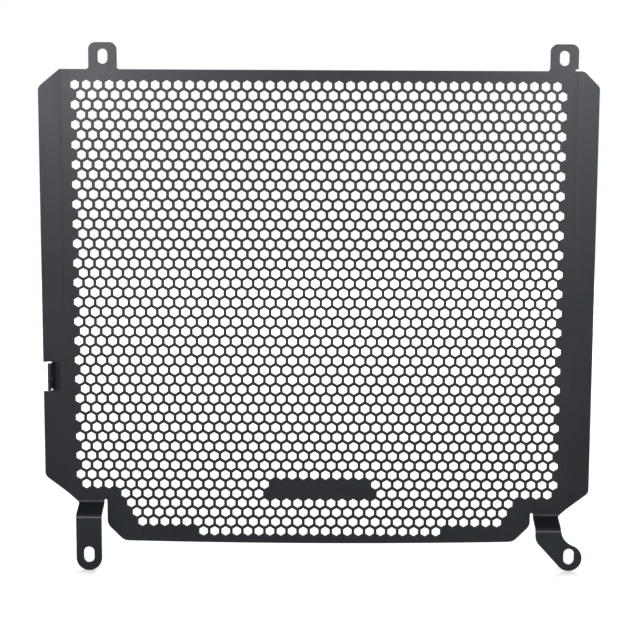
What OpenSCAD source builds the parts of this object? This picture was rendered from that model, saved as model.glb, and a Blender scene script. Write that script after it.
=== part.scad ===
// Motorcycle radiator guard: one sheet of aluminium, pierced, cut to outline and folded.
// X runs across the bike and Z runs up. The radiator lies on the -Y side, which is also the side
// that the wings, the side tab and both legs are folded towards.
// Heights and depths are counted from the top edge of the panel, widths from its centre line.

/* [Sheet] */
// Thickness of the sheet
sheet_t = 2; // [1.5:0.1:2.5]
// Inside radius of every fold
bend_r = 2; // [1:0.1:3]

/* [Panel] */
// Width of the flat panel between the folds of the two wings
panel_w = 338; // [334:1:350]
// Depth of the fold that starts the left leg
left_h = 289; // [286:0.5:292]
// Distance that the fold of the right leg lies lower
right_drop = 8.5; // [5:0.5:12]

/* [Wings] */
// Width of each wing, from its fold to its free edge
wing_w = 14; // [12:0.5:18]
// Angle between each wing and the panel's own plane
wing_bend = 20; // [10:1:30]
// Radius that joins the wing edges to their chamfers
wing_corner_r = 5; // [2:0.5:7]
// Height of the chamfer at the top of the left wing
left_chamfer_h = 11.7; // [9:0.1:20]
// Width of the chamfer at the top of the right wing
right_chamfer_w = 9.4; // [8:0.1:10.5]
// Height of the chamfer at the top of the right wing
right_chamfer_h = 10.2; // [8:0.1:20]
// Angle of the long chamfers that run from the wings to the legs
lower_chamfer = 42; // [36:1:48]

/* [Lobe] */
// Distance of the lobe's lowest point, midway between the legs, below the right leg's fold
lobe_drop = 19.5; // [16.5:0.5:24]
// Rise of the lobe's curved lower edge from its middle to its chamfers
lobe_bow = 1.5; // [0.5:0.1:4]
// Width of the chamfer at each lower corner of the lobe
lobe_chamfer = 11.2; // [8:0.1:14]
// Radius of the lobe's corners
lobe_corner_r = 4; // [2:0.5:6]

/* [Grille] */
// Distance between the centres of neighbouring holes
grille_pitch = 14.6; // [13.5:0.1:20]
// Width of the web left between two hexagonal holes
grille_web = 3.6; // [2.8:0.1:5]
// Distance from each wing fold to the nearest hole
side_margin = 6.5; // [4:0.5:12]
// Distance from the top edge to the first row of holes
top_margin = 6.6; // [4:0.1:12]
// Distance from the leg folds up to the last full row of holes
leg_margin = 9; // [7:0.5:14]
// Distance from the sides of the lobe to the holes in it
lobe_side_margin = 6; // [4:0.5:12]
// Distance from the bottom of the lobe to the holes above its chamfers
lobe_foot_margin = 10.7; // [8:0.1:16]
// Distance from the bottom of the lobe to the lowest holes at its middle
lobe_mid_margin = 4; // [3.5:0.1:8]
// Half of the width over which holes may reach that lowest line
lobe_mid_half = 85; // [60:1:110]
// Width of the bare plate left between the holes near the bottom
plate_w = 71; // [40:1:110]
// Height of the bare plate
plate_h = 13; // [10:0.5:30]
// Distance of the bare plate's centre to the right of the centre line
plate_x = 1.9; // [-10:0.1:10]
// Distance of the bare plate's centre above the lobe's lowest point
plate_rise = 37.5; // [32:0.5:77]

/* [Top tabs] */
// Width of each top tab
top_tab_w = 18.4; // [16:0.1:22]
// Height of the top tabs above the panel's top edge
top_tab_h = 17.3; // [16:0.1:24]
// Distance from the left wing's fold to the left tab's centre line
left_tab_inset = 28; // [19:1:109]
// Distance from the right wing's fold to the right tab's centre line
right_tab_inset = 9.1; // [9:0.1:11]
// Radius of the tabs' upper corners
top_tab_r = 4.6; // [2:0.1:6]
// Radius of the fillet between a tab and the top edge
top_tab_fillet = 2; // [1:0.1:3]
// Width of the bolt slots in the top tabs
top_slot_w = 6.5; // [5:0.1:8]
// Length of the bolt slots in the top tabs
top_slot_l = 9.8; // [9:0.1:11]
// Height of those slots' centres above the top edge
top_slot_rise = 8.3; // [8:0.1:9]

/* [Legs] */
// Width of each leg
leg_w = 17; // [15:0.5:19]
// Distance from the left wing's fold to the left leg's centre line
left_leg_inset = 16.7; // [13:0.1:21]
// Distance from the right wing's fold to the right leg's centre line
right_leg_inset = 14.4; // [13:0.1:19]
// Distance that each leg steps towards the radiator
leg_step = 15; // [12:0.5:20]
// Angle of the two folds that make this step
leg_bend = 67.5; // [55:0.5:80]
// Length of the left leg from its fold to its tip, seen from the front
left_leg_l = 42.8; // [38:0.1:50]
// Radius of the left leg's lower corners
left_leg_r = 8.4; // [4:0.1:8.4]
// Distance of the left leg's bolt slot above the leg's tip
left_slot_rise = 10.7; // [9:0.1:14]
// Radius of the pad at the end of the right leg
pad_r = 8.7; // [8:0.1:10]
// Sideways distance from the right leg's centre line to its pad
pad_shift = 13.9; // [11:0.1:15]
// Drop from the right leg's fold to the centre of its pad
pad_drop = 24.9; // [24:0.1:32]
// Drop from the right leg's fold to the corner where it turns outwards
elbow_drop = 13.3; // [11:0.1:14]
// Radius of that outer corner
elbow_r = 8; // [2:0.5:9]
// Distance of the right leg's bolt slot above the centre of its pad
right_slot_rise = 1.1; // [-1:0.1:2]
// Width of the bolt slots in the legs
leg_slot_w = 7; // [5:0.1:8]
// Length of the bolt slots in the legs
leg_slot_l = 10.8; // [9:0.1:11.5]

/* [Side tab] */
// Height of the side tab
side_tab_h = 18.6; // [16:0.1:24]
// Depth of the side tab's centre
side_tab_depth = 202.4; // [60:0.1:240]
// Distance of the side tab from the wing's fold, across the guard
side_tab_inset = 6.7; // [6:0.1:7.5]
// Distance that the side tab reaches from the panel towards the radiator
side_tab_reach = 15.5; // [14.5:0.1:22]
// Radius of the side tab's free corners
side_tab_r = 2.5; // [1:0.1:4]
// Diameter of the bolt hole in the side tab
side_hole_d = 6.5; // [5:0.1:7]
// Distance of that hole's centre from the panel towards the radiator
side_hole_reach = 9.6; // [9:0.1:10]

/* [Relief cuts] */
// Width of the slits beside the side tab and under the right top tab
slit_w = 1.3; // [1:0.1:2]
// Width of the notches between the lobe and the legs
notch_w = 2; // [1.5:0.1:3]
// Distance that the notches and slits reach past the fold they free
relief_over = 2; // [1:0.1:2.5]

/* [Hidden] */
$fn = 96;
// Amount by which a cutting tool stands clear of what it cuts
clear = 1;
// Factor by which a rounding arc is larger than one that only touches the sides it joins
overrun = 1.002;
// Where the wing folds and wing edges lie
fold_x = panel_w / 2;
edge_x = fold_x + wing_w * cos(wing_bend);
// Centre lines of the top tabs and the legs
left_tab_x = fold_x - left_tab_inset;
right_tab_x = fold_x - right_tab_inset;
left_leg_x = fold_x - left_leg_inset;
right_leg_x = fold_x - right_leg_inset;
// Depths of the right leg's fold, the lobe's lowest point, the bare plate and both lower wing corners
right_h = left_h + right_drop;
lobe_h = right_h + lobe_drop;
plate_depth = lobe_h - plate_rise;
left_leg_out = left_leg_x + leg_w / 2;
right_leg_out = right_leg_x + leg_w / 2;
left_edge_h = left_h - (edge_x - left_leg_out) * tan(lower_chamfer);
right_edge_h = right_h - (edge_x - right_leg_out) * tan(lower_chamfer);
// Sides and middle of the lobe, which stands clear of both legs by a notch
lobe_left = -left_leg_x + leg_w / 2 + notch_w;
lobe_right = right_leg_x - leg_w / 2 - notch_w;
lobe_x = (lobe_left + lobe_right) / 2;
lobe_half = (lobe_right - lobe_left) / 2;
// Inner and outer corner of the side tab's fold in plan, on the right wing
side_fold = [fold_x + side_tab_inset, -side_tab_inset * tan(wing_bend)];
side_back = [
    side_fold.x + sheet_t,
    sheet_t / cos(wing_bend) - (side_tab_inset + sheet_t) * tan(wing_bend)
];
// Drop of a leg between its two folds, and the pad's place
step_drop = leg_step / tan(leg_bend);
pad = [right_leg_x + pad_shift, -right_h - pad_drop];
// Size of one hexagonal hole across its corners, and the field that holes have to stay in
hole_d = (grille_pitch - grille_web) / cos(30);
field_x = fold_x - side_margin;
foot_depth = lobe_h - lobe_foot_margin;
foot_half = lobe_half - lobe_chamfer - lobe_side_margin;
field = [
    [field_x, -top_margin],
    [-field_x, -top_margin],
    [-field_x, leg_margin - left_h],
    [lobe_left + lobe_side_margin, leg_margin - left_h],
    [lobe_x - foot_half, -foot_depth],
    [lobe_x - lobe_mid_half, -foot_depth],
    [lobe_x - lobe_mid_half, lobe_mid_margin - lobe_h],
    [lobe_x + lobe_mid_half, lobe_mid_margin - lobe_h],
    [lobe_x + lobe_mid_half, -foot_depth],
    [lobe_x + foot_half, -foot_depth],
    [lobe_right - lobe_side_margin, leg_margin - right_h],
    [field_x, leg_margin - right_h]
];
// Middle of the whole guard's bounding box, which is the origin of its own frame
box_front = -max(side_tab_reach, leg_step);
box_bottom = -max(left_h + left_leg_l, right_h + pad_drop + pad_r);
middle = [0, (box_front + sheet_t) / 2, (box_bottom + top_tab_h) / 2];

// Plane geometry

function unit(v) = v / norm(v);
function turned(v) = [-v.y, v.x];
function ahead(points, i) = points[(i + 1) % len(points)] - points[i];
function behind(points, i) = points[i] - points[(i + len(points) - 1) % len(points)];
function is_convex(points, i) = cross(behind(points, i), ahead(points, i)) > 0;
// True for a point inside a closed outline
function inside(p, points) =
    len([
        for (i = [0:len(points) - 1])
            let (a = points[i], d = ahead(points, i))
                if ((a.y > p.y) != (a.y + d.y > p.y) && p.x < a.x + d.x * (p.y - a.y) / d.y) i
    ]) % 2 == 1;
// Point where a line from p touches the circle round c, on its anticlockwise side seen from c
function touch(p, c, r) =
    let (v = p - c, a = atan2(v.y, v.x) + acos(r / norm(v)))
        c + r * [cos(a), sin(a)];

// Piece between a sharp corner and the arc that rounds it. The arc runs a hair past both sides, so
// that it always crosses them.
module corner_piece(points, i, r) {
    p = points[i];
    u = -unit(behind(points, i));
    v = unit(ahead(points, i));
    half = acos(u * v) / 2;
    c = p + unit(u + v) * r / sin(half);
    difference() {
        polygon([p + u * r / tan(half), c, p + v * r / tan(half), c + (p - c) * 1.2]);
        translate(c) circle(r * overrun);
    }
}

// Anticlockwise outline whose corners are rounded by the given radii, 0 for a sharp one
module rounded(points, radii) {
    difference() {
        union() {
            polygon(points);
            for (i = [0:len(points) - 1])
                if (radii[i] > 0 && !is_convex(points, i)) corner_piece(points, i, radii[i]);
        }
        for (i = [0:len(points) - 1])
            if (radii[i] > 0 && is_convex(points, i)) corner_piece(points, i, radii[i]);
    }
}

// Upright slot with round ends
module slot(w, l) {
    square([w, l - w], center = true);
    for (side = [-1, 1]) translate([0, side * (l - w) / 2]) circle(w / 2);
}

// Cut of width w with a round inner end, which runs from the origin towards +X
module relief(w, l) {
    circle(w / 2);
    translate([0, -w / 2]) square([l, w]);
}

// Sheet work

// Corner of the sheet's front face behind corner i of a path on its radiator face
function far_corner(path, i) =
    let (
        last = len(path) - 1,
        a = unit(path[max(i, 1)] - path[max(i, 1) - 1]),
        b = unit(path[min(i, last - 1) + 1] - path[min(i, last - 1)]),
        n = turned(unit(a + b))
    )
        path[i] + n * sheet_t / (n * turned(a));

// Section of the sheet folded along a path, which its radiator face follows
module section(path) {
    last = len(path) - 1;
    points = concat(path, [for (i = [last:-1:0]) far_corner(path, i)]);
    near = [
        for (i = [0:last])
            i == 0 || i == last ? 0 : is_convex(path, i) ? bend_r + sheet_t : bend_r
    ];
    far = [for (i = [last:-1:0]) near[i] == 0 ? 0 : 2 * bend_r + sheet_t - near[i]];
    rounded(points, concat(near, far));
}

// Solid that an outline seen from the radiator sweeps out from y = from to y = to
module upright(from, to) {
    translate([0, to, 0]) rotate([90, 0, 0]) linear_extrude(to - from) children();
}

// Whole depth that any folded piece takes up
module through() {
    upright(box_front - clear, sheet_t + clear) children();
}

module plate() {
    upright(0, sheet_t) children();
}

// Panel and wings

// One half of the panel with its wing, down to where the leg on that side starts to fold
module half_sheet(depth) {
    root = depth - bend_r * tan(leg_bend / 2);
    translate([0, 0, -root]) linear_extrude(root)
        section([[0, 0], [fold_x, 0], [edge_x + sheet_t, (fold_x - edge_x - sheet_t) * tan(wing_bend)]]);
}

module panel_outline() {
    rounded(
        [
            [edge_x, -right_edge_h],
            [edge_x, -right_chamfer_h],
            [edge_x - right_chamfer_w, 0],
            [-fold_x, 0],
            [-edge_x, -left_chamfer_h],
            [-edge_x, -left_edge_h],
            [-left_leg_out, -left_h],
            [0, -left_h],
            [0, -right_h],
            [right_leg_out, -right_h]
        ],
        [wing_corner_r, wing_corner_r, wing_corner_r, 0, wing_corner_r, wing_corner_r, 0, 0, 0, 0]
    );
}

module panel_and_wings() {
    intersection() {
        union() {
            half_sheet(right_h);
            mirror([1, 0, 0]) half_sheet(left_h);
        }
        through() panel_outline();
    }
}

module lobe() {
    foot = lobe_bow - lobe_h;
    chord = lobe_half - lobe_chamfer;
    bow_r = (pow(chord, 2) + pow(lobe_bow, 2)) / (2 * lobe_bow);
    plate() intersection() {
        rounded(
            [
                [lobe_right, leg_margin - left_h],
                [lobe_left, leg_margin - left_h],
                [lobe_left, foot + lobe_chamfer],
                [lobe_left + lobe_chamfer + 2 * lobe_bow, foot - 2 * lobe_bow],
                [lobe_right - lobe_chamfer - 2 * lobe_bow, foot - 2 * lobe_bow],
                [lobe_right, foot + lobe_chamfer]
            ],
            [0, 0, lobe_corner_r, 0, 0, lobe_corner_r]
        );
        translate([lobe_x, bow_r - lobe_h]) circle(bow_r, $fn = 720);
    }
}

// Top tab with a fillet at its base, or on its right side a straight corner that a slit frees
module top_tab(freed = false) {
    half = top_tab_w / 2;
    base = half + top_tab_fillet + clear;
    right_base = freed ? half - relief_over : base;
    plate() rounded(
        [
            [right_base, -clear],
            [right_base, 0],
            [half, 0],
            [half, top_tab_h],
            [-half, top_tab_h],
            [-half, 0],
            [-base, 0],
            [-base, -clear]
        ],
        [0, 0, freed ? 0 : top_tab_fillet, top_tab_r, top_tab_r, top_tab_fillet, 0, 0]
    );
}

// Legs

// Bare strip of a leg between two distances from the centre line, stepped towards the radiator
module leg_strip(from, to, start, fold_depth, end) {
    translate([from, 0, -start]) rotate([0, 90, 0]) linear_extrude(to - from)
        section([
            [0, 0],
            [fold_depth - start, 0],
            [fold_depth - start + step_drop, -leg_step],
            [end - start, -leg_step]
        ]);
}

// Outline of a leg's root, which carries on the chamfer above it. Its outer side is at x = out.
module root_outline(out, fold_depth) {
    lead = bend_r + sheet_t;
    polygon([
        [out - leg_w, lead * tan(lower_chamfer) - fold_depth],
        [out - leg_w, -fold_depth - clear],
        [out, -fold_depth - clear],
        [out, -fold_depth],
        [out + lead, lead * tan(lower_chamfer) - fold_depth]
    ]);
}

module left_leg() {
    tip = left_h + left_leg_l;
    intersection() {
        leg_strip(-left_leg_out - leg_w, leg_w - left_leg_x, left_h - leg_margin, left_h, tip + clear);
        through() union() {
            mirror([1, 0]) root_outline(left_leg_out, left_h);
            translate([-left_leg_x, -tip]) rounded(
                [[-leg_w / 2, 0], [leg_w / 2, 0], [leg_w / 2, left_leg_l], [-leg_w / 2, left_leg_l]],
                [left_leg_r, left_leg_r, 0, 0]
            );
        }
    }
}

module right_leg_outline() {
    elbow = [right_leg_out - leg_w, -right_h - elbow_drop];
    start = -right_h - step_drop;
    // Hollow curve that starts at the lower fold on the leg's outer side and ends on the pad
    out = pad.x - right_leg_out;
    hollow_r = (pow(out, 2) + pow(start - pad.y, 2) - pow(pad_r, 2)) / (2 * (out + pad_r));
    hollow = [right_leg_out + hollow_r, start];
    root_outline(right_leg_out, right_h);
    difference() {
        rounded(
            [
                [right_leg_out, -right_h],
                [elbow.x, -right_h],
                elbow,
                touch(elbow, pad, pad_r / overrun),
                pad,
                pad + pad_r * unit(hollow - pad),
                hollow,
                [right_leg_out, start]
            ],
            [0, 0, elbow_r, 0, 0, 0, 0, 0]
        );
        translate(hollow) circle(hollow_r * overrun);
    }
    translate(pad) circle(pad_r);
}

module right_leg() {
    intersection() {
        leg_strip(
            right_leg_out - leg_w - clear,
            max(pad.x + pad_r, right_leg_out + bend_r + sheet_t) + clear,
            right_h - leg_margin,
            right_h,
            clear - pad.y + pad_r
        );
        through() right_leg_outline();
    }
}

// Side tab, drawn on the right wing and mirrored to the left one

// Places an outline in plan over the side tab's height
module at_side_tab() {
    mirror([1, 0, 0]) translate([0, 0, -side_tab_depth - side_tab_h / 2])
        linear_extrude(side_tab_h) children();
}

module side_tab() {
    // The tab ends inside the wing's thickness, which it stands on
    root = (side_fold.y + side_back.y) / 2;
    mirror([1, 0, 0]) translate([side_fold.x, 0, -side_tab_depth])
        rotate([90, 0, 90]) linear_extrude(sheet_t) rounded(
            [
                [root, -side_tab_h / 2],
                [root, side_tab_h / 2],
                [-side_tab_reach, side_tab_h / 2],
                [-side_tab_reach, -side_tab_h / 2]
            ],
            [0, 0, side_tab_r, side_tab_r]
        );
    // Inside of the fold
    at_side_tab()
        corner_piece([side_fold - 9 * [1, -tan(wing_bend)], side_fold, side_fold - [0, 9]], 1, bend_r);
}

// What the wing loses where the side tab is folded out of it, with the outside of the fold
module side_tab_window() {
    at_side_tab() {
        translate([side_back.x, -wing_w]) square(2 * wing_w);
        corner_piece(
            [side_back - [0, 9], side_back, side_back - 9 * [1, -tan(wing_bend)]],
            1,
            bend_r + sheet_t
        );
    }
}

// Cuts

// Holes of the grille: rows of hexagons with every second row moved by half a pitch
module grille_holes() {
    columns = floor((2 * field_x - grille_pitch + grille_web) / grille_pitch + 0.5);
    rows = floor((lobe_h - top_margin - hole_d) / (grille_pitch * sin(60))) + 1;
    through()
        for (row = [0:rows - 1], column = [0:columns - 1]) {
            centre = [
                (column - (2 * columns - 1) / 4 + (row % 2) / 2) * grille_pitch,
                -top_margin - hole_d / 2 - row * grille_pitch * sin(60)
            ];
            corners = [for (a = [30:60:330]) centre + hole_d / 2 * [cos(a), sin(a)]];
            on_plate = abs(centre.x - plate_x) < plate_w / 2 && abs(centre.y + plate_depth) < plate_h / 2;
            if (!on_plate && len([for (c = corners) if (inside(c, field)) 1]) == 6)
                translate(centre) rotate(30) circle(d = hole_d, $fn = 6);
        }
}

module bolt_slots() {
    through() {
        for (x = [-left_tab_x, right_tab_x])
            translate([x, top_slot_rise]) slot(top_slot_w, top_slot_l);
        translate([-left_leg_x, left_slot_rise - left_h - left_leg_l]) slot(leg_slot_w, leg_slot_l);
        translate([pad.x, pad.y + right_slot_rise]) slot(leg_slot_w, leg_slot_l);
    }
}

module side_hole() {
    translate([-fold_x - wing_w, -side_hole_reach, -side_tab_depth]) rotate([0, 90, 0])
        cylinder(d = side_hole_d, h = wing_w);
}

module relief_cuts() {
    tab_side = right_tab_x + top_tab_w / 2;
    through() {
        // Notches between the lobe and the legs
        for (cut = [[lobe_left - notch_w / 2, left_h], [lobe_right + notch_w / 2, right_h]])
            translate([cut[0], relief_over - notch_w / 2 - cut[1]]) rotate(-90) relief(notch_w, lobe_h);
        // Slit between the right top tab and the wing beside it
        translate([tab_side - relief_over + slit_w / 2, slit_w / 2]) relief(slit_w, relief_over);
    }
    // Slits above and below the side tab
    upright((fold_x - edge_x) * tan(wing_bend) - clear, sheet_t + clear)
        for (side = [-1, 1])
            translate([-side_back.x, side * side_tab_h / 2 - side_tab_depth]) rotate(180)
                relief(slit_w, wing_w);
}

module radiator_guard() {
    color("#45484b") translate(-middle) difference() {
        union() {
            panel_and_wings();
            lobe();
            translate([-left_tab_x, 0, 0]) top_tab();
            translate([right_tab_x, 0, 0]) top_tab(freed = true);
            left_leg();
            right_leg();
            side_tab();
        }
        side_tab_window();
        relief_cuts();
        bolt_slots();
        side_hole();
        grille_holes();
    }
}

radiator_guard();
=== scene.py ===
"""Motorcycle radiator guard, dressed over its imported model.

The guard is one aluminium sheet: pierced with a lattice of hexagons, cut to outline, folded and
powder coated. Sizes are millimetres of the sheet's own layout, where X runs across the guard from its
centre line, Z runs up from the panel's top edge, and the panel's radiator face lies at Y = 0.
"""

import logging
import math
from collections.abc import Callable
from dataclasses import dataclass, field
from enum import Enum

import bmesh
import bpy
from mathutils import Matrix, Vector
from mathutils.geometry import delaunay_2d_cdt


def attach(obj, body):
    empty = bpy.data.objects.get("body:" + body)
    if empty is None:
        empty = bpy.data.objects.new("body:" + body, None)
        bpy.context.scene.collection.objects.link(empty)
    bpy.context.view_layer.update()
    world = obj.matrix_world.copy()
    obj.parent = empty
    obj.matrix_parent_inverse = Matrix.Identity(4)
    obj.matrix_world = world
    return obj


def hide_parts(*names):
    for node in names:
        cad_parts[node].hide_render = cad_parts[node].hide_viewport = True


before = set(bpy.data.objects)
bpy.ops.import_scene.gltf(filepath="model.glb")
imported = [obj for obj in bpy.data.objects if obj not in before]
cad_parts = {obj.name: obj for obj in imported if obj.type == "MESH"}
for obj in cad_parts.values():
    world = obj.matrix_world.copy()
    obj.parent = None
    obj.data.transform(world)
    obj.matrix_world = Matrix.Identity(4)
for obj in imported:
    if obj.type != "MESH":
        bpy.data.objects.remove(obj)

log = logging.getLogger("guard")

Point = tuple[float, float]
Outline = list[Point]
Place = Callable[[float, float, float], Vector]

# The layout's point that is the middle of the guard's box, and so the origin of its own frame
MIDDLE_MM = (0.0, -6.75, -157.25)

# How far an outline runs into the metal that it joins, and how far a cut runs out of it
OVERLAP_MM = 1.0
CLEAR_MM = 5.0

# A fold of a leg begins less than this above its fold line
LEG_FOLD_LEAD_MM = 3.0

# The tabs stand above this height and stay flat where the wings bend
TAB_ROOT_MM = 0.6

# Corners closer than this are one corner
MERGE_MM = 1e-4

# Faces that meet at less than this many degrees are shaded as one
SMOOTH_ANGLE = 30

# Height of the sweep's top edge as the guard sees it: the sine of its angle above the horizon
SWEEP_TOP = 0.35


class Hand(Enum):
    """Side of the guard, as seen from the radiator."""

    LEFT = -1
    RIGHT = 1


def own_frame(x: float, y: float, z: float) -> Vector:
    """Turns a point of the layout, in millimetres, into the guard's own frame, in metres."""
    return Vector((x - MIDDLE_MM[0], y - MIDDLE_MM[1], z - MIDDLE_MM[2])) / 1000


# Plane outlines


def arc(centre: Point, radius: float, start: float, end: float, steps: int) -> Outline:
    """Gives the points of an arc.

    Args:
        centre: Centre of the arc.
        radius: Its radius.
        start: Angle of its first point, in degrees.
        end: Angle of its last point, in degrees.
        steps: Number of chords that it is drawn with.

    Returns:
        steps + 1 points, from start to end.
    """
    angles = [math.radians(start + (end - start) * i / steps) for i in range(steps + 1)]
    return [(centre[0] + radius * math.cos(a), centre[1] + radius * math.sin(a)) for a in angles]


def ring(centre: Point, radius: float, steps: int) -> Outline:
    """Gives a full circle of that many points."""
    return arc(centre, radius, 0, 360, steps)[:-1]


def rectangle(low: Point, high: Point) -> Outline:
    """Gives the rectangle between two opposite corners."""
    return [low, (high[0], low[1]), high, (low[0], high[1])]


def corner_arc(before: Point, corner: Point, after: Point, radius: float) -> Outline:
    """Gives the arc that touches both sides of a corner.

    Args:
        before: Point before the corner.
        corner: The sharp corner.
        after: Point after the corner.
        radius: Radius of the arc.

    Returns:
        The arc's points, in the order in which the outline runs.
    """
    here = Vector(corner)
    back = (Vector(before) - here).normalized()
    ahead = (Vector(after) - here).normalized()
    half = back.angle(ahead) / 2
    centre = here + (back + ahead).normalized() * radius / math.sin(half)
    first = here + back * radius / math.tan(half) - centre
    turn = math.pi - 2 * half
    if back.x * ahead.y - back.y * ahead.x > 0:
        turn = -turn
    start = math.degrees(math.atan2(first.y, first.x))
    steps = max(4, round(math.degrees(abs(turn)) / 9))
    return arc((centre.x, centre.y), radius, start, start + math.degrees(turn), steps)


def rounded(points: Outline, radii: list[float]) -> Outline:
    """Rounds the corners of an outline.

    Args:
        points: Its sharp corners.
        radii: The radius of each corner, 0 for one that stays sharp.

    Returns:
        The outline with arcs in place of its rounded corners.
    """
    outline: Outline = []
    for i, (point, radius) in enumerate(zip(points, radii)):
        if radius:
            outline += corner_arc(points[i - 1], point, points[(i + 1) % len(points)], radius)
        else:
            outline.append(point)
    return outline


def bolt_slot(centre: Point, width: float, length: float) -> Outline:
    """Gives an upright slot with round ends.

    Args:
        centre: Middle of the slot.
        width: Its width.
        length: Its overall length.

    Returns:
        The slot's outline.
    """
    x, z = centre
    rise = (length - width) / 2
    return arc((x, z + rise), width / 2, 0, 180, 16) + arc((x, z - rise), width / 2, 180, 360, 16)


def relief(end: Point, width: float, length: float, direction: float) -> Outline:
    """Gives a relief cut with a round inner end.

    Args:
        end: Centre of the round end.
        width: Width of the cut.
        length: Length from that centre to the open end.
        direction: Angle in which the cut runs out of the metal, in degrees.

    Returns:
        The cut's outline.
    """
    a = math.radians(direction)
    along = (math.cos(a) * length, math.sin(a) * length)
    side = (-math.sin(a) * width / 2, math.cos(a) * width / 2)
    nose = arc(end, width / 2, direction + 90, direction + 270, 10)
    foot = (end[0] + along[0], end[1] + along[1])
    return nose + [(foot[0] - side[0], foot[1] - side[1]), (foot[0] + side[0], foot[1] + side[1])]


def holds(outline: Outline, x: float, z: float) -> bool:
    """Tells whether a point lies inside a closed outline.

    Args:
        outline: The closed outline.
        x: Place of the point across the guard.
        z: Height of the point.

    Returns:
        True for a point inside.
    """
    crossings = 0
    for (ax, az), (bx, bz) in zip(outline, outline[1:] + outline[:1]):
        if (az > z) != (bz > z) and x < ax + (bx - ax) * (z - az) / (bz - az):
            crossings += 1
    return crossings % 2 == 1


def anticlockwise(outline: Outline) -> Outline:
    """Puts an outline in the order that keeps its inside on the left.

    Args:
        outline: The outline in either order.

    Returns:
        The same points, anticlockwise.
    """
    pairs = zip(outline, outline[1:] + outline[:1])
    twice_area = sum(ax * bz - bx * az for (ax, az), (bx, bz) in pairs)
    return outline if twice_area > 0 else outline[::-1]


# Sheet work


@dataclass(frozen=True)
class Stock:
    """Sheet that the guard is cut from, in millimetres."""

    thickness: float = 2.0
    bend_radius: float = 2.0
    # The coat rounds each cut edge by about this much
    edge_break: float = 0.2


@dataclass
class Blank:
    """Flat pattern: outlines that give metal, outlines that take it away, and fold lines."""

    metal: list[Outline] = field(default_factory=list)
    cuts: list[Outline] = field(default_factory=list)
    fold_lines: list[tuple[Point, Point]] = field(default_factory=list)

    def triangles(self) -> tuple[list[Point], list[tuple[int, ...]]]:
        """Fills the metal that is left with triangles.

        Returns:
            The corner points, and the triangles as indices into them, anticlockwise.
        """
        points: list[Vector] = []
        faces: list[list[int]] = []
        for outline in self.metal + self.cuts:
            faces.append(list(range(len(points), len(points) + len(outline))))
            points += [Vector(p) for p in anticlockwise(outline)]
        edges: list[tuple[int, int]] = []
        for start, end in self.fold_lines:
            edges.append((len(points), len(points) + 1))
            points += [Vector(start), Vector(end)]
        # Kind 0 fills all of the hull and tells which outlines each triangle lies in
        corners, _, fills, _, _, sources = delaunay_2d_cdt(points, edges, faces, 0, MERGE_MM, True)
        kept = []
        for fill, source in zip(fills, sources):
            if source and min(source) < len(self.metal) and max(source) < len(self.metal):
                kept.append(tuple(fill))
        return [(p.x, p.y) for p in corners], kept


@dataclass(frozen=True)
class Fold:
    """One fold of the sheet: where its sharp corner would lie, and the turn it makes, in degrees."""

    at: float
    turn: float


@dataclass(frozen=True)
class Profile:
    """Section of the sheet's radiator face along one direction, made of straight runs and folds.

    A positive turn bends the sheet towards the radiator, which is the side this face lies on.
    """

    stock: Stock
    folds: tuple[Fold, ...]

    def face_radius(self, fold: Fold) -> float:
        """Radius of the radiator face in a fold."""
        return self.stock.bend_radius + (self.stock.thickness if fold.turn < 0 else 0)

    def arcs(self) -> list[tuple[float, float, float, float, float]]:
        """Lists the folds as arcs of the radiator face.

        Returns:
            For each fold its start, the height and the heading there, its radius and its turn, with the
            angles in radians.
        """
        rows = []
        x, y, heading = 0.0, 0.0, 0.0
        for fold in self.folds:
            turn = math.radians(fold.turn)
            radius = self.face_radius(fold)
            y -= (fold.at - x) * math.tan(heading)
            x = fold.at
            lead = radius * math.tan(abs(turn) / 2)
            rows.append((x - lead * math.cos(heading), y + lead * math.sin(heading), heading, radius, turn))
            heading += turn
        return rows

    def at(self, distance: float) -> tuple[float, float]:
        """Finds the face at a distance seen from the front.

        Args:
            distance: Distance from the profile's start, seen from the front.

        Returns:
            The face's height and its heading down towards the radiator, in radians.
        """
        x, y, heading = 0.0, 0.0, 0.0
        for start, height, before, radius, turn in self.arcs():
            if distance <= start:
                break
            sign = math.copysign(1, turn)
            after = before + turn
            end = start + sign * radius * (math.sin(after) - math.sin(before))
            if distance < end:
                heading = math.asin(math.sin(before) + sign * (distance - start) / radius)
                return height - sign * radius * (math.cos(before) - math.cos(heading)), heading
            x = end
            y = height - sign * radius * (math.cos(before) - math.cos(after))
            heading = after
        return y - (distance - x) * math.tan(heading), heading

    def steps(self, count: int) -> list[float]:
        """Splits each fold into flat strips.

        Args:
            count: Number of strips to a fold.

        Returns:
            The distances of the strips' edges, seen from the front.
        """
        marks = []
        for start, _, before, radius, turn in self.arcs():
            sign = math.copysign(1, turn)
            for i in range(count + 1):
                angle = before + turn * i / count
                marks.append(start + sign * radius * (math.sin(angle) - math.sin(before)))
        return marks


def rim_of(faces: list[tuple[int, ...]]) -> list[tuple[int, int]]:
    """Lists the edges that only one triangle has.

    Args:
        faces: The pattern's triangles, anticlockwise.

    Returns:
        The rim edges, each with the metal on its left.
    """
    seen: set[tuple[int, int]] = set()
    for face in faces:
        seen.update(zip(face, face[1:] + face[:1]))
    return [edge for edge in seen if (edge[1], edge[0]) not in seen]


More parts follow.
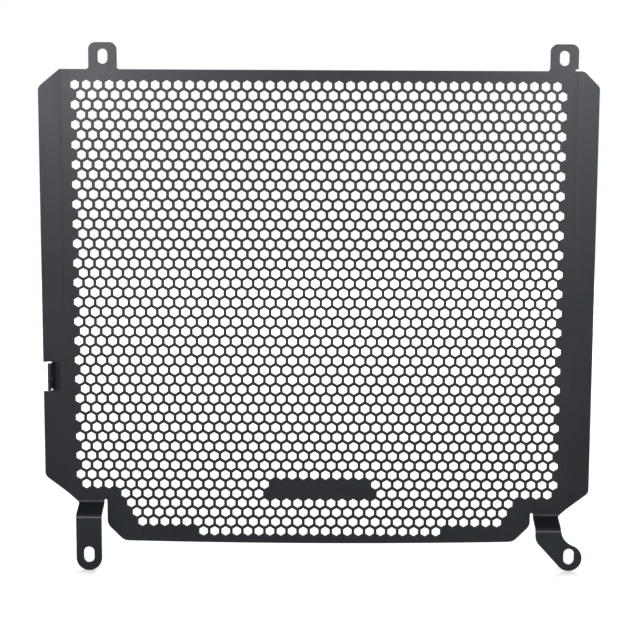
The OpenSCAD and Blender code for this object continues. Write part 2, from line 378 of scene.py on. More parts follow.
def rim_shifts(points: list[Point], rim: list[tuple[int, int]], distance: float) -> dict[int, Point]:
    """Works out how each rim point moves when the rim is set back into the metal.

    Args:
        points: The pattern's points.
        rim: Its rim edges, each with the metal on its left.
        distance: How far the rim is set back.

    Returns:
        The shift of each rim point.
    """
    normals: dict[int, list[Vector]] = {}
    for a, b in rim:
        run = (Vector(points[b]) - Vector(points[a])).normalized()
        for i in (a, b):
            normals.setdefault(i, []).append(Vector((-run.y, run.x)))
    shifts = {}
    for i, sides in normals.items():
        total = sides[0] + sides[1]
        # A rim that turns back on itself has no room, and its corner stays where it is
        room = 1 + sides[0].dot(sides[1])
        plain = len(sides) == 2 and room > 0.25
        shifts[i] = tuple(total * distance / room) if plain else (0.0, 0.0)
    return shifts


def add_sheet(bm: bmesh.types.BMesh, blank: Blank, place: Place, stock: Stock) -> None:
    """Adds a pierced and folded sheet with softened edges to a mesh.

    Args:
        bm: The mesh that gets it.
        blank: Its flat pattern, as seen from the radiator.
        place: Gives the point at x, z and a depth into the sheet from its radiator face.
        stock: The sheet's thickness and edges.
    """
    points, faces = blank.triangles()
    rim = rim_of(faces)
    shifts = rim_shifts(points, rim, stock.edge_break)

    def layer(indices: set[int], depth: float, set_back: bool) -> dict[int, bmesh.types.BMVert]:
        """Makes the vertices of one layer of the sheet.

        Args:
            indices: The pattern's points that the layer has.
            depth: Depth of the layer below the radiator face.
            set_back: Whether its rim is set back by the edge break.

        Returns:
            The vertex of each point.
        """
        made = {}
        for i in indices:
            dx, dz = shifts.get(i, (0.0, 0.0)) if set_back else (0.0, 0.0)
            made[i] = bm.verts.new(place(points[i][0] + dx, points[i][1] + dz, depth))
        return made

    used = {i for face in faces for i in face}
    edge_points = set(shifts)
    near = layer(used, 0.0, True)
    near_edge = layer(edge_points, stock.edge_break, False)
    far_edge = layer(edge_points, stock.thickness - stock.edge_break, False)
    far = layer(used, stock.thickness, True)
    for face in faces:
        bm.faces.new([near[i] for i in face])
        bm.faces.new([far[i] for i in reversed(face)])
    for a, b in rim:
        for upper, lower in ((near, near_edge), (near_edge, far_edge), (far_edge, far)):
            bm.faces.new((upper[b], upper[a], lower[a], lower[b]))


# The guard's own parts


@dataclass(frozen=True)
class Lobe:
    """Part of the panel that hangs down between the legs."""

    left: float = -141.8
    right: float = 144.1
    top: float = -280.0
    depth: float = 317.0
    bow: float = 1.5
    chamfer: float = 11.2
    corner_radius: float = 7.5

    @property
    def middle(self) -> float:
        """Distance of the lobe's middle from the centre line."""
        return (self.left + self.right) / 2

    @property
    def half(self) -> float:
        """Half of the lobe's width."""
        return (self.right - self.left) / 2

    def outline(self) -> Outline:
        """Draws the lobe with its chamfers and its bowed foot.

        Returns:
            The lobe's outline, up into the panel.
        """
        foot = self.bow - self.depth
        chord = self.half - self.chamfer
        radius = (chord**2 + self.bow**2) / (2 * self.bow)
        spread = math.degrees(math.asin(chord / radius))
        bow = arc((self.middle, radius - self.depth), radius, 270 - spread, 270 + spread, 48)
        # The chords next to each end give way to the rounded corners
        inner = bow[3:-3]
        points = [
            (self.right, self.top),
            (self.left, self.top),
            (self.left, foot + self.chamfer),
            bow[0],
            *inner,
            bow[-1],
            (self.right, foot + self.chamfer),
        ]
        r = self.corner_radius
        return rounded(points, [0.0, 0.0, r, r, *[0.0] * len(inner), r, r])


@dataclass(frozen=True)
class Grille:
    """Lattice of hexagonal holes with a corner at the top, pierced in the flat panel."""

    pitch: float = 7.5
    across_flats: float = 5.65
    columns: int = 43
    rows: int = 47
    first_row: float = 10.05
    half_width: float = 162.5
    top: float = 6.6
    left_shoulder: float = 280.0
    right_shoulder: float = 288.5
    side_margin: float = 6.0
    foot_margin: float = 10.7
    middle_margin: float = 4.0
    middle_half: float = 85.0
    # Bare plate left between the holes: its middle, and half of its width and height
    plate_middle: Point = (1.9, -279.5)
    plate_half: Point = (35.5, 6.5)

    def holed_field(self, lobe: Lobe) -> Outline:
        """Draws the field that every hole has to stay in.

        Args:
            lobe: The lobe that the field reaches down into.

        Returns:
            The field's outline.
        """
        foot = self.foot_margin - lobe.depth
        foot_half = lobe.half - lobe.chamfer - self.side_margin
        left, right = lobe.left + self.side_margin, lobe.right - self.side_margin
        return [
            (self.half_width, -self.top),
            (-self.half_width, -self.top),
            (-self.half_width, -self.left_shoulder),
            (left, -self.left_shoulder),
            (lobe.middle - foot_half, foot),
            (lobe.middle - self.middle_half, foot),
            (lobe.middle - self.middle_half, self.middle_margin - lobe.depth),
            (lobe.middle + self.middle_half, self.middle_margin - lobe.depth),
            (lobe.middle + self.middle_half, foot),
            (lobe.middle + foot_half, foot),
            (right, -self.right_shoulder),
            (self.half_width, -self.right_shoulder),
        ]

    def holes(self, lobe: Lobe) -> list[Outline]:
        """Draws every hole that lies in the field and off the bare plate.

        Args:
            lobe: The lobe that the field reaches down into.

        Returns:
            The outlines of the holes, row by row.
        """
        area = self.holed_field(lobe)
        radius = self.across_flats / math.sqrt(3)
        found = []
        for row in range(self.rows):
            z = -self.first_row - row * self.pitch * math.sin(math.radians(60))
            for column in range(self.columns):
                x = (column - (2 * self.columns - 1) / 4 + (row % 2) / 2) * self.pitch
                hexagon = arc((x, z), radius, 30, 330, 5)
                bare = (
                    abs(x - self.plate_middle[0]) < self.plate_half[0]
                    and abs(z - self.plate_middle[1]) < self.plate_half[1]
                )
                if not bare and all(holds(area, *corner) for corner in hexagon):
                    found.append(hexagon)
        return found


@dataclass(frozen=True)
class Panel:
    """Flat panel with its two folded wings, down to the folds of the legs."""

    half_width: float = 169.0
    wing_width: float = 14.0
    wing_bend: float = 20.0
    wing_corner_radius: float = 5.0
    left_chamfer_height: float = 11.7
    right_chamfer: Point = (9.4, 10.2)
    lower_chamfer: float = 42.0
    left_fold: float = 289.0
    right_fold: float = 297.5
    left_leg_out: float = 160.8
    right_leg_out: float = 163.1

    @property
    def edge(self) -> float:
        """Distance of the wings' free edges from the centre line, seen from the front."""
        return self.half_width + self.wing_width * math.cos(math.radians(self.wing_bend))

    def outline(self) -> Outline:
        """Draws panel and wings as seen from the radiator.

        Returns:
            Their outline, down to the folds of the legs.
        """
        slope = math.tan(math.radians(self.lower_chamfer))
        width, height = self.right_chamfer
        points = [
            (self.edge, (self.edge - self.right_leg_out) * slope - self.right_fold),
            (self.edge, -height),
            (self.edge - width, 0.0),
            (-self.half_width, 0.0),
            (-self.edge, -self.left_chamfer_height),
            (-self.edge, (self.edge - self.left_leg_out) * slope - self.left_fold),
            (-self.left_leg_out, -self.left_fold),
            (0.0, -self.left_fold),
            (0.0, -self.right_fold),
            (self.right_leg_out, -self.right_fold),
        ]
        r = self.wing_corner_radius
        return rounded(points, [r, r, r, 0.0, r, r, 0.0, 0.0, 0.0, 0.0])

    def profile(self, stock: Stock) -> Profile:
        """Gives the section of a wing, from the centre line outwards."""
        return Profile(stock, (Fold(self.half_width, self.wing_bend),))


@dataclass(frozen=True)
class TopTab:
    """Tab with a bolt slot on the panel's top edge."""

    middle: float
    # True where a slit, not a fillet, frees the tab's right side from the wing
    freed: bool = False
    width: float = 18.4
    height: float = 17.3
    corner_radius: float = 4.6
    fillet: float = 2.0
    slot_width: float = 6.5
    slot_length: float = 9.8
    slot_rise: float = 8.3
    slit_width: float = 1.3
    slit_reach: float = 2.0

    def outline(self) -> Outline:
        """Draws the tab down into the panel.

        Returns:
            The tab's outline, with a fillet at each side that isn't freed.
        """
        half = self.width / 2
        base = half + self.fillet + OVERLAP_MM
        right_base = half - self.slit_reach if self.freed else base
        points = [
            (right_base, -OVERLAP_MM),
            (right_base, 0.0),
            (half, 0.0),
            (half, self.height),
            (-half, self.height),
            (-half, 0.0),
            (-base, 0.0),
            (-base, -OVERLAP_MM),
        ]
        r, f = self.corner_radius, self.fillet
        placed = [(x + self.middle, z) for x, z in points]
        return rounded(placed, [0.0, 0.0, 0.0 if self.freed else f, r, r, f, 0.0, 0.0])

    def cuts(self) -> list[Outline]:
        """Draws what the tab loses.

        Returns:
            The outline of the bolt slot, and that of the slit of a freed tab.
        """
        found = [bolt_slot((self.middle, self.slot_rise), self.slot_width, self.slot_length)]
        if self.freed:
            end = self.middle + self.width / 2 - self.slit_reach + self.slit_width / 2
            found.append(relief((end, self.slit_width / 2), self.slit_width, CLEAR_MM, 0))
        return found


@dataclass(frozen=True)
class Leg:
    """Leg that steps towards the radiator in two folds and ends in a bolt slot."""

    hand: Hand
    middle: float
    fold: float
    slot_drop: float
    width: float = 17.0
    step: float = 15.0
    bend: float = 72.0
    slot_width: float = 7.0
    slot_length: float = 10.8
    notch_width: float = 2.0
    notch_reach: float = 2.0
    # Longer than the leg, so that the notch runs out of the metal
    notch_length: float = 60.0
    # How far its fold lines run out past its outer side, which is past its widest part
    fold_reach: float = 16.0
    lower_chamfer: float = 42.0

    @property
    def out(self) -> float:
        """Place of the leg's outer side."""
        return self.hand.value * (self.middle + self.width / 2)

    @property
    def inner(self) -> float:
        """Place of the leg's inner side."""
        return self.hand.value * (self.middle - self.width / 2)

    def profile(self, stock: Stock) -> Profile:
        """Gives the leg's section, from the panel's top edge down."""
        drop = self.step / math.tan(math.radians(self.bend))
        return Profile(stock, (Fold(self.fold, self.bend), Fold(self.fold + drop, -self.bend)))

    def root(self, stock: Stock) -> Outline:
        """Draws the leg's root, which carries on the chamfer above it.

        Args:
            stock: The sheet, which sets how far the fold reaches up.

        Returns:
            The root's outline, down past the fold line.
        """
        lead = stock.bend_radius + stock.thickness
        slope = math.tan(math.radians(self.lower_chamfer))
        side = self.hand.value
        return [
            (self.inner, lead * slope - self.fold),
            (self.inner, -self.fold - OVERLAP_MM),
            (self.out, -self.fold - OVERLAP_MM),
            (self.out, -self.fold),
            (self.out + side * lead, lead * slope - self.fold),
        ]

    def notch(self) -> Outline:
        """Draws the notch between the leg and the lobe.

        Returns:
            The notch's outline.
        """
        x = self.inner - self.hand.value * self.notch_width / 2
        end = self.notch_reach - self.notch_width / 2 - self.fold
        return relief((x, end), self.notch_width, self.notch_length, -90)


@dataclass(frozen=True)
class StraightLeg(Leg):
    """Leg that runs straight down to a round-cornered end."""

    length: float = 42.8
    end_radius: float = 8.4

    def outline(self) -> Outline:
        """Draws the leg below its fold.

        Returns:
            The leg's outline.
        """
        low, high = sorted((self.inner, self.out))
        tip = -self.fold - self.length
        points = [(low, tip), (high, tip), (high, -self.fold), (low, -self.fold)]
        return rounded(points, [self.end_radius, self.end_radius, 0.0, 0.0])

    def slot(self) -> Outline:
        """Draws the bolt slot on the leg's centre line."""
        centre = (self.hand.value * self.middle, -self.fold - self.slot_drop)
        return bolt_slot(centre, self.slot_width, self.slot_length)


@dataclass(frozen=True)
class CrankedLeg(Leg):
    """Leg that turns outwards below its folds and ends in a round pad."""

    pad_radius: float = 8.7
    pad_shift: float = 13.9
    pad_drop: float = 24.9
    elbow_drop: float = 13.3
    elbow_radius: float = 8.0

    @property
    def pad(self) -> Point:
        """Middle of the pad."""
        return (self.middle + self.pad_shift, -self.fold - self.pad_drop)

    def outline(self) -> Outline:
        """Draws neck, elbow, pad and the hollow between the pad and the lower fold.

        Returns:
            The leg's outline.
        """
        px, pz = self.pad
        elbow = (self.inner, -self.fold - self.elbow_drop)
        start = -self.fold - self.step / math.tan(math.radians(self.bend))
        away = Vector(elbow) - Vector(self.pad)
        touch = math.degrees(math.atan2(away.y, away.x) + math.acos(self.pad_radius / away.length)) % 360
        reach = px - self.out
        hollow_radius = (reach**2 + (start - pz) ** 2 - self.pad_radius**2) / (2 * (reach + self.pad_radius))
        hollow = (self.out + hollow_radius, start)
        lift = math.degrees(math.atan2(hollow[1] - pz, hollow[0] - px))
        pad = arc(self.pad, self.pad_radius, touch, lift + 360, 36)
        neck = [(self.out, -self.fold), (self.inner, -self.fold)]
        turn = corner_arc(neck[1], elbow, pad[0], self.elbow_radius)
        return neck + turn + pad + arc(hollow, hollow_radius, lift + 180, 180, 12)[1:]

    def slot(self) -> Outline:
        """Draws the bolt slot in the pad."""
        return bolt_slot((self.pad[0], -self.fold - self.slot_drop), self.slot_width, self.slot_length)


@dataclass(frozen=True)
class SideTab:
    """Tab folded out of the left wing towards the radiator, with a bolt hole across the bike."""

    depth: float = 202.4
    height: float = 18.6
    inset: float = 6.7
    reach: float = 15.5
    corner_radius: float = 1.2
    fold_radius: float = 5.0
    fold_strips: int = 10
    # Rise of the tab over each millimetre that it reaches out
    lean: float = 0.16
    # Hollow in its lower side: how far out its middle lies, its radius and its depth
    hollow_reach: float = 9.0
    hollow_radius: float = 10.0
    hollow_depth: float = 2.3
    hole_diameter: float = 6.5
    hole_reach: float = 9.6
    slit_width: float = 1.3

    def fold_centre(self, panel: Panel) -> Point:
        """Finds the middle of the tab's fold in plan, on the side of positive X.

        Args:
            panel: The panel whose wing carries the tab.

        Returns:
            Its distance from the centre line and its height over the radiator face.
        """
        x = panel.half_width + self.inset - self.fold_radius
        bend = math.radians(panel.wing_bend)
        return x, (panel.half_width - x) * math.tan(bend) - self.fold_radius / math.cos(bend)

    def start(self, panel: Panel) -> float:
        """Distance from the centre line at which the tab leaves the wing."""
        bend = math.radians(panel.wing_bend)
        return self.fold_centre(panel)[0] + self.fold_radius * math.sin(bend)

    def window(self, panel: Panel, stock: Stock) -> list[Outline]:
        """Draws what the left wing loses to the tab.

        Args:
            panel: The panel whose wing carries the tab.
            stock: The sheet that both are folded from.

        Returns:
            The outlines of the gap, of the slit below it and of the slit above it.
        """
        beyond = panel.edge + CLEAR_MM
        half = self.height / 2
        gap = rectangle(
            (-beyond, -self.depth - half), (-self.start(panel), half - self.depth)
        )
        end = panel.half_width + self.inset + stock.thickness
        slits = [
            relief((-end, side * half - self.depth), self.slit_width, beyond - end, 180)
            for side in (-1, 1)
        ]
        return [gap, *slits]

    def blank(self, panel: Panel) -> Blank:
        """Draws the tab unrolled beyond the line where it leaves the wing.

        Args:
            panel: The panel whose wing carries the tab.

        Returns:
            The tab's flat pattern.
        """
        start = self.start(panel)
        fold_run = self.fold_radius * math.radians(90 - panel.wing_bend)
        flat_top = -self.fold_centre(panel)[1]
        tip = start + fold_run + self.reach - flat_top
        half = self.height / 2
        points = rectangle((-tip, -self.depth - half), (-start, half - self.depth))
        r = self.corner_radius
        # The hole keeps its height, so it lies lower in the leaning tab
        out = self.hole_reach - flat_top
        hole = ring((-start - fold_run - out, -self.depth - self.lean * out), self.hole_diameter / 2, 40)
        below = self.hollow_depth - self.hollow_radius - half - self.depth
        hollow = ring((flat_top - start - fold_run - self.hollow_reach, below), self.hollow_radius, 180)
        lines = []
        for i in range(1, self.fold_strips + 1):
            x = -start - fold_run * i / self.fold_strips
            lines.append(((x, -self.depth - half - OVERLAP_MM), (x, half + OVERLAP_MM - self.depth)))
        return Blank([rounded(points, [r, 0.0, 0.0, r])], [hole, hollow], lines)

    def place(self, panel: Panel) -> Place:
        """Rolls the tab's blank into its fold.

        Args:
            panel: The panel whose wing carries the tab.

        Returns:
            The function that places a point of the blank.
        """
        cx, cy = self.fold_centre(panel)
        start = self.start(panel)
        fold_run = self.fold_radius * math.radians(90 - panel.wing_bend)

        def placed(x: float, z: float, depth: float) -> Vector:
            """Places one point of the tab.

            Args:
                x: Its place across the guard in the blank.
                z: Its height in the blank.
                depth: Its depth into the sheet from the radiator face.

            Returns:
                The point in the guard's own frame.
            """
            run = min(max(-x - start, 0.0), fold_run)
            angle = math.radians(panel.wing_bend) + run / self.fold_radius
            radius = self.fold_radius + depth
            straight = max(-x - start - fold_run, 0.0)
            across = cx + radius * math.sin(angle) + min(-x - start, 0.0) * math.cos(angle)
            out = cy + radius * math.cos(angle) - straight - min(-x - start, 0.0) * math.sin(angle)
            return own_frame(-across, out, z + self.lean * straight)

        return placed


# Finishes


def linear(colour: str) -> tuple[float, float, float, float]:
    """Turns an sRGB hex colour into linear values.

    Args:
        colour: The colour, such as #2b2d30.

    Returns:
        Its linear red, green and blue, and full alpha.
    """
    parts = [int(colour[i : i + 2], 16) / 255 for i in (1, 3, 5)]
    red, green, blue = (p / 12.92 if p <= 0.04045 else ((p + 0.055) / 1.055) ** 2.4 for p in parts)
    return red, green, blue, 1.0


def add_node(
    tree: bpy.types.NodeTree,
    kind: str,
    links: dict[str | int, bpy.types.NodeSocket] | None = None,
    values: dict[str | int, object] | None = None,
    **settings: object,
) -> bpy.types.Node:
    """Adds a node with its settings, socket values and incoming links.

    Args:
        tree: The node tree that gets it.
        kind: Blender's name for the kind of node.
        links: Output sockets by the name or number of the input that each one feeds.
        values: Plain values by the name or number of the input that holds each one.
        settings: The node's own settings.

    Returns:
        The new node.
    """
    node = tree.nodes.new(kind)
    for name, value in settings.items():
        setattr(node, name, value)
    for name, value in (values or {}).items():
        node.inputs[name].default_value = value
    for name, output in (links or {}).items():
        tree.links.new(output, node.inputs[name])
    return node


def empty_tree(owner: bpy.types.Material | bpy.types.World) -> bpy.types.NodeTree:
    """Switches a material or the surroundings to nodes.

    Args:
        owner: What gets the nodes.

    Returns:
        Its node tree, emptied.
    """
    owner.use_nodes = True
    owner.node_tree.nodes.clear()
    return owner.node_tree


def per_metre(size_mm: float) -> float:
    """Scale of a noise whose grains are about that many millimetres wide."""
    return 1000 / size_mm


@dataclass(frozen=True)
class PowderCoat:
    """Polyester powder coat, sprayed dry and baked on aluminium sheet.

    It flows out to a satin charcoal skin with a fine orange peel, so that a soft light shows as a wide,
    faintly pebbled sheen and never as a mirror image.
    """

    body: str = "#1b1e22"
    thin_film: str = "#272b30"
    # Width of the patches in which the film is a little thicker or thinner
    film_drift_mm: float = 38.0
    # Pebbles of the orange peel, and how high they stand
    orange_peel_mm: float = 1.1
    peel_height_mm: float = 0.03
    # Grains of pigment. Real ones are below a tenth of this and wouldn't show
    pigment_mm: float = 0.7
    roughness: tuple[float, float] = (0.33, 0.37)
    specular: float = 0.4

    def material(self) -> bpy.types.Material:
        """Builds the coat.

        Returns:
            The coat as a material.
        """
        made = bpy.data.materials.new("satin_powder_coat")
        tree = empty_tree(made)
        where = add_node(tree, "ShaderNodeTexCoord").outputs["Object"]
        drift = add_node(
            tree,
            "ShaderNodeTexNoise",
            {"Vector": where},
            {"Scale": per_metre(self.film_drift_mm), "Detail": 3.0, "Roughness": 0.55},
        )
        grains = add_node(
            tree,
            "ShaderNodeTexNoise",
            {"Vector": where},
            {"Scale": per_metre(self.pigment_mm), "Detail": 1.0},
        )
        peel = add_node(
            tree,
            "ShaderNodeTexNoise",
            {"Vector": where},
            {"Scale": per_metre(self.orange_peel_mm), "Detail": 2.0, "Roughness": 0.45},
        )
        speckle = add_node(
            tree,
            "ShaderNodeMapRange",
            {"Value": grains.outputs["Fac"]},
            {"From Min": 0.35, "From Max": 0.65, "To Min": -0.32, "To Max": 0.32},
        )
        share = add_node(
            tree,
            "ShaderNodeMath",
            {0: drift.outputs["Fac"], 1: speckle.outputs["Result"]},
            operation="ADD",
            use_clamp=True,
        )
        colour = add_node(
            tree,
            "ShaderNodeMixRGB",
            {"Fac": share.outputs["Value"]},
            {"Color1": linear(self.body), "Color2": linear(self.thin_film)},
        )
        rough = add_node(
            tree,
            "ShaderNodeMapRange",
            {"Value": drift.outputs["Fac"]},
            {"From Min": 0.3, "From Max": 0.7, "To Min": self.roughness[0], "To Max": self.roughness[1]},
        )
        bump = add_node(
            tree,
            "ShaderNodeBump",
            {"Height": peel.outputs["Fac"]},
            {"Strength": 0.6, "Distance": self.peel_height_mm / 1000},
        )
        shader = add_node(
            tree,
            "ShaderNodeBsdfPrincipled",
            {
                "Base Color": colour.outputs["Color"],
                "Roughness": rough.outputs["Result"],
                "Normal": bump.outputs["Normal"],
            },
            {"Specular IOR Level": self.specular, "IOR": 1.5},
        )
        add_node(tree, "ShaderNodeOutputMaterial", {"Surface": shader.outputs["BSDF"]})
        return made


@dataclass(frozen=True)
class PaperSweep:
    """Matt white studio paper. It looks white to the camera and still takes the guard's shadow."""

    paper: str = "#dedede"
    # Glow close to the guard, where its shadow falls, and far off, where few lamps reach
    glow_near: float = 0.79
    glow_far: float = 0.93
    near_mm: float = 250.0
    far_mm: float = 900.0
    # Width of the faint contact shadow painted into the glow round the tips of the legs, as darkening by
    # ambient occlusion
    painted_shadow_mm: float = 40.0

    def material(self) -> bpy.types.Material:
        """Builds the paper.

        Returns:
            The paper as a material.
        """
        made = bpy.data.materials.new("studio_paper")
        tree = empty_tree(made)
        seen = seen_as_white(tree, "Object")
        matt = add_node(tree, "ShaderNodeBsdfDiffuse", values={"Color": linear(self.paper)})
        where = add_node(tree, "ShaderNodeTexCoord").outputs["Object"]
        away = add_node(tree, "ShaderNodeVectorMath", {0: where}, operation="LENGTH")
        level = add_node(
            tree,
            "ShaderNodeMapRange",
            {"Value": away.outputs["Value"]},
            {
                "From Min": self.near_mm / 1000,
                "From Max": self.far_mm / 1000,
                "To Min": self.glow_near,
                "To Max": self.glow_far,
            },
        )
        # Painted contact shadow: ambient occlusion darkens the glow next to the tips of the legs
        contact = add_node(
            tree, "ShaderNodeAmbientOcclusion", values={"Distance": self.painted_shadow_mm / 1000}, samples=16
        )
        glow_less_painted_shade = add_node(
            tree,
            "ShaderNodeMath",
            {0: level.outputs["Result"], 1: contact.outputs["AO"]},
            operation="MULTIPLY",
        )
        strength = add_node(
            tree, "ShaderNodeMath", {0: seen, 1: glow_less_painted_shade.outputs["Value"]}, operation="MULTIPLY"
        )
        glow = add_node(
            tree, "ShaderNodeEmission", {"Strength": strength.outputs["Value"]}, {"Color": linear("#ffffff")}
        )
        both = add_node(tree, "ShaderNodeAddShader", {0: matt.outputs["BSDF"], 1: glow.outputs["Emission"]})
        add_node(tree, "ShaderNodeOutputMaterial", {"Surface": both.outputs["Shader"]})
        return made


def seen_as_white(tree: bpy.types.NodeTree, coordinate: str) -> bpy.types.NodeSocket:
    """Tells which rays see the white sweep itself, apart from the light that it gives.

    The camera sees white all round, also through glass. A gloss sees it where the sweep stands, behind the
    guard and up to its top edge, while the room behind the camera stays dark.

    Args:
        tree: The node tree of the paper or of the surroundings.
        coordinate: Texture coordinate that tells where, or in which direction, the ray arrives.

    Returns:
        A socket that is 1 for those rays and 0 for the others.
    """
    path = add_node(tree, "ShaderNodeLightPath")
    where = add_node(tree, "ShaderNodeTexCoord").outputs[coordinate]
    axes = add_node(tree, "ShaderNodeSeparateXYZ", {"Vector": where})
    behind = add_node(tree, "ShaderNodeMath", {0: axes.outputs["Y"]}, {1: 0.0}, operation="GREATER_THAN")
    low = add_node(tree, "ShaderNodeMath", {0: axes.outputs["Z"]}, {1: SWEEP_TOP}, operation="LESS_THAN")
    place = add_node(
        tree, "ShaderNodeMath", {0: behind.outputs["Value"], 1: low.outputs["Value"]}, operation="MULTIPLY"
    )
    gloss = add_node(
        tree,
        "ShaderNodeMath",
        {0: place.outputs["Value"], 1: path.outputs["Is Glossy Ray"]},
        operation="MULTIPLY",
    )
    total = gloss.outputs["Value"]
    for name in ("Is Camera Ray", "Is Transmission Ray"):
        larger = add_node(tree, "ShaderNodeMath", {0: total, 1: path.outputs[name]}, operation="MAXIMUM")
        total = larger.outputs["Value"]
    return total


# Pieces


@dataclass(frozen=True)
class Guard:
    """The whole guard, one folded and coated sheet."""

    stock: Stock = Stock()
    panel: Panel = Panel()
    lobe: Lobe = Lobe()
    grille: Grille = Grille()
    left_tab: TopTab = TopTab(middle=-141.0)
    right_tab: TopTab = TopTab(middle=159.9, freed=True)
    left_leg: StraightLeg = StraightLeg(hand=Hand.LEFT, middle=152.3, fold=289.0, slot_drop=32.1)
    right_leg: CrankedLeg = CrankedLeg(hand=Hand.RIGHT, middle=154.6, fold=297.5, slot_drop=23.8)
    side_tab: SideTab = SideTab()
    coat: PowderCoat = PowderCoat()
    wing_fold_strips: int = 5
    leg_fold_strips: int = 9

    def blank(self) -> Blank:
        """Draws the sheet's pattern as seen from the radiator.

        Returns:
            The flat pattern of all but the side tab.
        """
        legs = (self.left_leg, self.right_leg)
        tabs = (self.left_tab, self.right_tab)
        holes = self.grille.holes(self.lobe)
        log.info("grille: %d holes", len(holes))
        metal = [self.panel.outline(), self.lobe.outline()]
        metal += [tab.outline() for tab in tabs]
        metal += [leg.outline() for leg in legs]
        metal += [leg.root(self.stock) for leg in legs]
        cuts = [cut for tab in tabs for cut in tab.cuts()]
        cuts += [leg.slot() for leg in legs] + [leg.notch() for leg in legs]
        cuts += self.side_tab.window(self.panel, self.stock) + holes
        return Blank(metal, cuts, self.fold_lines())

    def fold_lines(self) -> list[tuple[Point, Point]]:
        """Draws the lines at which the folds of wings and legs are split into flat strips.

        Returns:
            The two ends of each line.
        """
        lines = []
        for x in self.panel.profile(self.stock).steps(self.wing_fold_strips):
            for side in Hand:
                lines.append(((side.value * x, -self.panel.right_fold), (side.value * x, 0.0)))
        for leg in (self.left_leg, self.right_leg):
            side = leg.hand.value
            inner = leg.inner - side * leg.notch_width / 2
            outer = leg.out + side * leg.fold_reach
            for depth in leg.profile(self.stock).steps(self.leg_fold_strips):
                lines.append(((inner, -depth), (outer, -depth)))
        return lines

    def place(self, x: float, z: float, depth: float) -> Vector:
        """Places a point of the folded sheet.

        Args:
            x: Distance from the centre line, seen from the front.
            z: Height above the panel's top edge.
            depth: Depth into the sheet from its radiator face.

        Returns:
            The point in the guard's own frame.
        """
        for leg in (self.left_leg, self.right_leg):
            side = leg.hand.value
            if x * side > leg.inner * side - leg.notch_width / 2 and -z > leg.fold - LEG_FOLD_LEAD_MM:
                y, heading = leg.profile(self.stock).at(-z)
                return own_frame(x, y + depth * math.cos(heading), z - depth * math.sin(heading))
        side = math.copysign(1, x)
        y, heading = (0.0, 0.0) if z > TAB_ROOT_MM else self.panel.profile(self.stock).at(abs(x))
        return own_frame(x + side * depth * math.sin(heading), y + depth * math.cos(heading), z)

    def build(self) -> bpy.types.Object:
        """Builds the sheet with its coat and hands it to the frame.

        Returns:
            The sheet's object.
        """
        bm = bmesh.new()
        add_sheet(bm, self.blank(), self.place, self.stock)
        tab = self.side_tab
        add_sheet(bm, tab.blank(self.panel), tab.place(self.panel), self.stock)
        mesh = bpy.data.meshes.new("guard_sheet")
        bm.to_mesh(mesh)
        bm.free()
        mesh.shade_smooth()
        mesh.set_sharp_from_angle(angle=math.radians(SMOOTH_ANGLE))
        mesh.materials.append(self.coat.material())
        sheet = bpy.data.objects.new("guard_sheet", mesh)
        bpy.context.collection.objects.link(sheet)
        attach(sheet, "root")
        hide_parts("radiator_guard")
        return sheet


@dataclass(frozen=True)
class Softbox:
    """Soft studio lamp: where it hangs and what it points at, in metres, its size and its power."""

    name: str
    location: tuple[float, float, float]
    target: tuple[float, float, float]
    size: tuple[float, float]
    power: float
    # Daylight tubes behind cloth: a touch cooler than the paper
    colour: str = "#f8fbff"

    def build(self) -> bpy.types.Object:
        """Hangs the lamp.

        Returns:
            The lamp's object.
        """
        data = bpy.data.lights.new(self.name, "AREA")
        data.shape = "RECTANGLE"
        data.size, data.size_y = self.size
        data.energy = self.power
        data.color = linear(self.colour)[:3]
        lamp = bpy.data.objects.new(self.name, data)
        lamp.location = self.location
        aim = Vector(self.target) - Vector(self.location)
        lamp.rotation_euler = aim.to_track_quat("-Z", "Y").to_euler()
        bpy.context.collection.objects.link(lamp)
        return lamp


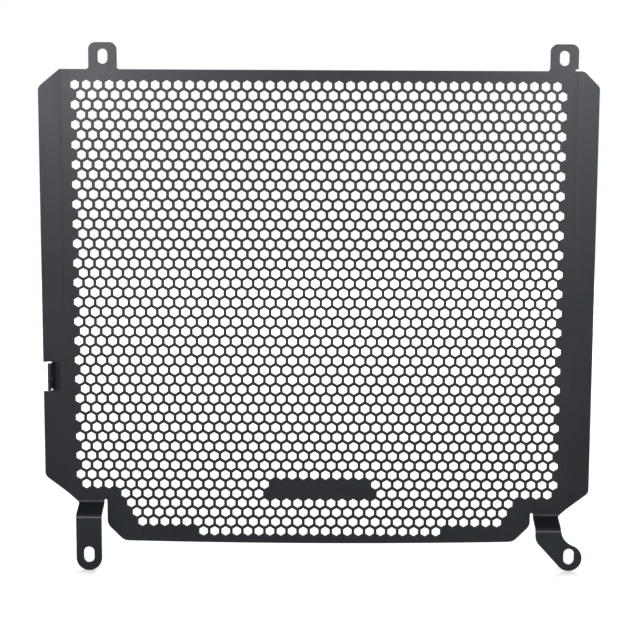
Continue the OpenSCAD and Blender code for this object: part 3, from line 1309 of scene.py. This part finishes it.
@dataclass(frozen=True)
class Studio:
    """Paper sweep, lamps and camera round the guard."""

    paper: PaperSweep = PaperSweep()
    floor_height_mm: float = -331.9
    floor_half: float = 5.0
    fill: float = 0.18
    lamps: tuple[Softbox, ...] = (
        Softbox("left_softbox", (-0.46, -1.4, 0.36), (0.0, 0.0, 0.0), (0.26, 0.3), 7.4),
        Softbox("right_softbox", (0.56, -1.4, 0.35), (0.0, 0.0, 0.0), (0.36, 0.3), 7.4),
        Softbox("rear_softbox", (0.5, 1.7, 0.9), (0.0, 0.0, 0.0), (1.2, 0.8), 26.0),
    )
    camera_location: tuple[float, float, float] = (-0.000271, -1.006176, 0.128937)
    camera_turn: tuple[float, float, float] = (82.36259, -0.267738, -0.056724)
    lens_mm: float = 86.42

    def build_floor(self) -> bpy.types.Object:
        """Lays the paper under the leg tips.

        Returns:
            The floor's object.
        """
        z = own_frame(0.0, 0.0, self.floor_height_mm).z
        half = self.floor_half
        bm = bmesh.new()
        bm.faces.new([bm.verts.new((x, y, z)) for x, y in rectangle((-half, -half), (half, half))])
        mesh = bpy.data.meshes.new("paper_floor")
        bm.to_mesh(mesh)
        bm.free()
        mesh.materials.append(self.paper.material())
        floor = bpy.data.objects.new("paper_floor", mesh)
        bpy.context.collection.objects.link(floor)
        return floor

    def build_world(self) -> bpy.types.World:
        """Makes the surroundings white to look at and soft grey as a light.

        Returns:
            The surroundings.
        """
        world = bpy.data.worlds.new("white_surround")
        bpy.context.scene.world = world
        tree = empty_tree(world)
        fill = add_node(
            tree, "ShaderNodeBackground", values={"Color": linear("#ffffff"), "Strength": self.fill}
        )
        white = add_node(tree, "ShaderNodeBackground", values={"Color": linear("#ffffff"), "Strength": 1.0})
        mixed = add_node(
            tree,
            "ShaderNodeMixShader",
            {
                0: seen_as_white(tree, "Generated"),
                1: fill.outputs["Background"],
                2: white.outputs["Background"],
            },
        )
        add_node(tree, "ShaderNodeOutputWorld", {"Surface": mixed.outputs["Shader"]})
        return world

    def build_camera(self) -> bpy.types.Object:
        """Sets up the camera at the photograph's angle and distance.

        Returns:
            The camera's object.
        """
        data = bpy.data.cameras.new("front_camera")
        data.lens = self.lens_mm
        data.sensor_width = 36.0
        data.clip_start = 0.01
        camera = bpy.data.objects.new("front_camera", data)
        camera.location = self.camera_location
        camera.rotation_euler = [math.radians(a) for a in self.camera_turn]
        bpy.context.collection.objects.link(camera)
        bpy.context.scene.camera = camera
        return camera


def main() -> None:
    """Builds the guard and its studio."""
    logging.basicConfig(level=logging.INFO, format="%(message)s")
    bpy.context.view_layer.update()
    sheet = Guard().build()
    log.info("%s: %d faces", sheet.name, len(sheet.data.polygons))
    studio = Studio()
    log.info("%s laid", studio.build_floor().name)
    log.info("%s set", studio.build_world().name)
    for lamp in studio.lamps:
        log.info("%s hung", lamp.build().name)
    log.info("%s placed", studio.build_camera().name)
    bpy.context.scene.view_settings.view_transform = "Standard"


if __name__ == "__main__":
    main()
